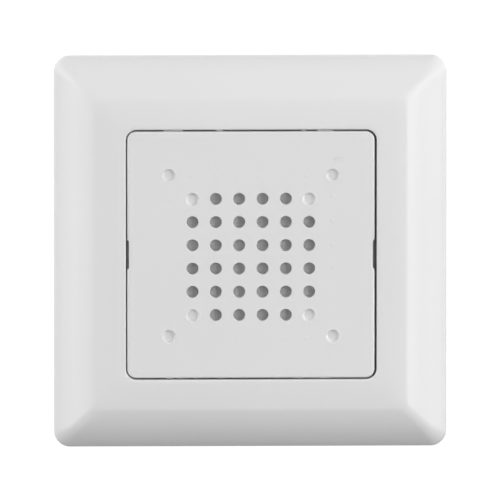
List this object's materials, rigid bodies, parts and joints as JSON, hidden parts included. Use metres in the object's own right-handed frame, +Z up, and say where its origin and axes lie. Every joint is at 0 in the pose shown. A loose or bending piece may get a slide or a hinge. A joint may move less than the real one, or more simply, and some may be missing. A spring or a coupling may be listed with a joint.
{
  "type": "doorbell chime box",
  "caption": "Flush doorbell chime: a square bevelled frame round a perforated centre plate, with a loudspeaker, circuit board and wire terminals in a round cup behind the wall line.",
  "frame": {"origin": "centre of the box screw slots, on the support ring's back face, which is the wall plane", "axes": "+X right and +Z up as seen from the room, +Y into the wall; the cover faces -Y"},
  "size_m": [0.0806, 0.036, 0.0806],
  "materials": {
    "cover_plastic": "glossy white moulded thermoplastic",
    "grille_cloth": "woven acoustic cloth",
    "carrier_plastic": "satin light grey moulded plastic",
    "zinc_steel": "zinc-plated sheet steel",
    "cup_plastic": "satin off-white moulded plastic",
    "basket_steel": "plated pressed steel",
    "gasket_card": "black card",
    "cone_film": "treated cone material",
    "copper": "enamelled copper wire",
    "ferrite": "dull ferrite",
    "phenolic": "brown phenolic board",
    "tinned_brass": "tinned brass",
    "lead_red": "red insulation",
    "lead_black": "black insulation",
    "plug_nylon": "natural nylon",
    "board_laminate": "green solder mask on glass laminate",
    "screw_steel": "bright zinc-plated steel",
    "control_blue": "blue moulded housing",
    "switch_black": "black moulded plastic",
    "capacitor_sleeve": "dark shrink sleeve and aluminium top",
    "package_epoxy": "black moulded epoxy",
    "ceramic_chip": "fired ceramic with tinned ends",
    "terminal_plastic": "grey moulded plastic"
  },
  "bodies": {
    "root": {"front_carrier": "carrier_plastic", "support_ring": "zinc_steel", "carrier_screws": "screw_steel", "rear_cup": "cup_plastic", "speaker_basket": "basket_steel", "speaker_gasket": "gasket_card", "cone_surround": "cone_film", "speaker_top_plate": "basket_steel", "speaker_magnet": "ferrite", "speaker_yoke": "basket_steel", "speaker_tag_board": "phenolic", "speaker_tags": "tinned_brass", "speaker_screws": "screw_steel", "speaker_lead_red": "lead_red", "speaker_lead_black": "lead_black", "speaker_plug": "plug_nylon", "speaker_header": "plug_nylon", "circuit_board": "board_laminate", "board_screws": "screw_steel", "volume_trimmer": "control_blue", "melody_switch": "switch_black", "capacitors": "capacitor_sleeve", "bridge_rectifier": "package_epoxy", "voltage_regulator": "package_epoxy", "sound_controller": "package_epoxy", "amplifier_chip": "package_epoxy", "resistors": "ceramic_chip", "ceramic_capacitors": "ceramic_chip", "diodes": "package_epoxy", "terminal_block": "terminal_plastic", "terminal_tongues": "tinned_brass"},
    "cover_frame": {"cover_frame": "cover_plastic"},
    "centre_plate": {"centre_plate": "cover_plastic", "grille_cloth": "grille_cloth"},
    "speaker_cone": {"speaker_cone": "cone_film", "dust_cap": "cone_film", "voice_coil": "copper"},
    "volume_shaft": {"volume_shaft": "plug_nylon"},
    "melody_button": {"melody_button": "plug_nylon", "melody_plunger": "plug_nylon"},
    "terminal_screw_1": {"terminal_screw_1": "screw_steel"},
    "terminal_cage_1": {"terminal_cage_1": "tinned_brass"},
    "terminal_screw_2": {"terminal_screw_2": "screw_steel"},
    "terminal_cage_2": {"terminal_cage_2": "tinned_brass"},
    "terminal_screw_3": {"terminal_screw_3": "screw_steel"},
    "terminal_cage_3": {"terminal_cage_3": "tinned_brass"}
  },
  "joints": [
    {"name": "frame_pull_off", "type": "slide", "parent": "root", "child": "cover_frame", "axis": [0, -1, 0], "range_m": [0, 0.012]},
    {"name": "plate_pull_off", "type": "slide", "parent": "cover_frame", "child": "centre_plate", "axis": [0, -1, 0], "range_m": [0, 0.01]},
    {"name": "cone_stroke", "type": "slide", "parent": "root", "child": "speaker_cone", "axis": [0, -1, 0], "range_m": [-0.0003, 0.0003], "stiffness_N_per_m": 600, "deforming": ["cone_surround"]},
    {"name": "volume_turn", "type": "hinge", "parent": "root", "child": "volume_shaft", "pos_m": [-0.00699, 0, -0.01756], "axis": [0, -1, 0], "range_deg": [-135, 135]},
    {"name": "melody_press", "type": "slide", "parent": "root", "child": "melody_button", "axis": [0, 1, 0], "range_m": [0, 0.0004], "stiffness_N_per_m": 800},
    {"name": "terminal_turn_1", "type": "hinge", "parent": "root", "child": "terminal_screw_1", "pos_m": [-0.00508, 0.022, -0.01469], "axis": [0, -1, 0], "range_deg": [0, 1440]},
    {"name": "cage_lift_1", "type": "slide", "parent": "root", "child": "terminal_cage_1", "axis": [0, 1, 0], "range_m": [0, 0.0018]},
    {"name": "terminal_turn_2", "type": "hinge", "parent": "root", "child": "terminal_screw_2", "pos_m": [0, 0.022, -0.01469], "axis": [0, -1, 0], "range_deg": [0, 1440]},
    {"name": "cage_lift_2", "type": "slide", "parent": "root", "child": "terminal_cage_2", "axis": [0, 1, 0], "range_m": [0, 0.0018]},
    {"name": "terminal_turn_3", "type": "hinge", "parent": "root", "child": "terminal_screw_3", "pos_m": [0.00508, 0.022, -0.01469], "axis": [0, -1, 0], "range_deg": [0, 1440]},
    {"name": "cage_lift_3", "type": "slide", "parent": "root", "child": "terminal_cage_3", "axis": [0, 1, 0], "range_m": [0, 0.0018]}
  ],
  "couplings": [
    {"joint": "terminal_turn_1", "follows": "cage_lift_1", "rad_per_m": 13963},
    {"joint": "terminal_turn_2", "follows": "cage_lift_2", "rad_per_m": 13963},
    {"joint": "terminal_turn_3", "follows": "cage_lift_3", "rad_per_m": 13963}
  ]
}
